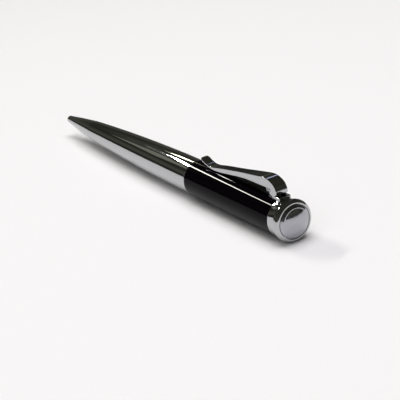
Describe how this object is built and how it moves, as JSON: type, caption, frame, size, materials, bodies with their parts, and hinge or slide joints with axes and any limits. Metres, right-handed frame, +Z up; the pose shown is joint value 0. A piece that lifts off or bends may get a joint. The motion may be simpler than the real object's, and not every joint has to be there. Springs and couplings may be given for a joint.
{
  "type": "ballpoint pen",
  "caption": "Twist-action retractable ballpoint pen with a chromed front barrel, black lacquered rear barrel and a sprung clip.",
  "frame": {"origin": "on the surface the pen lies on, under the middle of its length", "axes": "+X along the pen from the writing tip to the finial, +Z up through the clip, Y across the pen"},
  "size_m": [0.14, 0.0124, 0.0173],
  "materials": {
    "chrome_shell": "polished chrome plate on brass",
    "chrome_fittings": "polished chrome plate",
    "black_lacquer": "glossy black lacquer on brass",
    "brass": "turned brass",
    "steel": "turned steel",
    "spring_steel": "bright spring wire",
    "ball_carbide": "ground tungsten carbide",
    "refill_metal": "drawn nickel-plated tube",
    "white_acetal": "moulded acetal",
    "black_rubber": "moulded nitrile rubber",
    "blue_ink": "ballpoint paste",
    "follower_grease": "clear grease"
  },
  "bodies": {
    "barrel": {"nose_cone": "chrome_shell", "front_barrel": "chrome_shell", "trim_ring": "chrome_fittings", "barrel_bush": "brass", "thread_collar": "brass", "guide_tube": "steel", "guide_cap": "white_acetal", "friction_ring": "black_rubber", "return_spring": "spring_steel"},
    "ball": {"writing_ball": "ball_carbide"},
    "refill": {"refill_tip": "steel", "refill_neck": "brass", "refill_tube": "refill_metal", "refill_plug": "white_acetal", "ink_column": "blue_ink", "grease_follower": "follower_grease", "plunger": "white_acetal"},
    "cap": {"cap_tube": "black_lacquer", "cap_liner": "white_acetal", "spiral_sleeve": "white_acetal", "end_plug": "brass", "clip_ring": "chrome_fittings", "clip_bracket": "chrome_fittings", "clip_pin": "steel", "finial_cap": "chrome_fittings", "finial_inlay": "chrome_fittings", "finial_stud": "steel", "stud_washer": "brass", "stud_nut": "brass", "clip_spring": "spring_steel"},
    "clip": {"clip_arm": "chrome_fittings"}
  },
  "joints": [
    {"name": "barrel_twist", "type": "hinge", "parent": "barrel", "child": "cap", "pos_m": [0, 0, 0.00625], "axis": [1, 0, 0], "range_deg": [0, 180]},
    {"name": "refill_advance", "type": "slide", "parent": "barrel", "child": "refill", "axis": [-1, 0, 0], "range_m": [0, 0.005], "deforming": ["return_spring"]},
    {"name": "clip_hinge", "type": "hinge", "parent": "cap", "child": "clip", "pos_m": [0.0601, 0, 0.01389], "axis": [0, 1, 0], "range_deg": [0, 7], "stiffness_Nm_per_rad": 0.25, "springref_deg": -5.73, "deforming": ["clip_spring"]},
    {"name": "ball_roll", "type": "hinge", "parent": "refill", "child": "ball", "pos_m": [-0.0677, 0, 0.00625], "axis": [0, 1, 0], "continuous": true}
  ],
  "couplings": [
    {"joint": "barrel_twist", "follows": "refill_advance", "rad_per_m": 628.32}
  ]
}
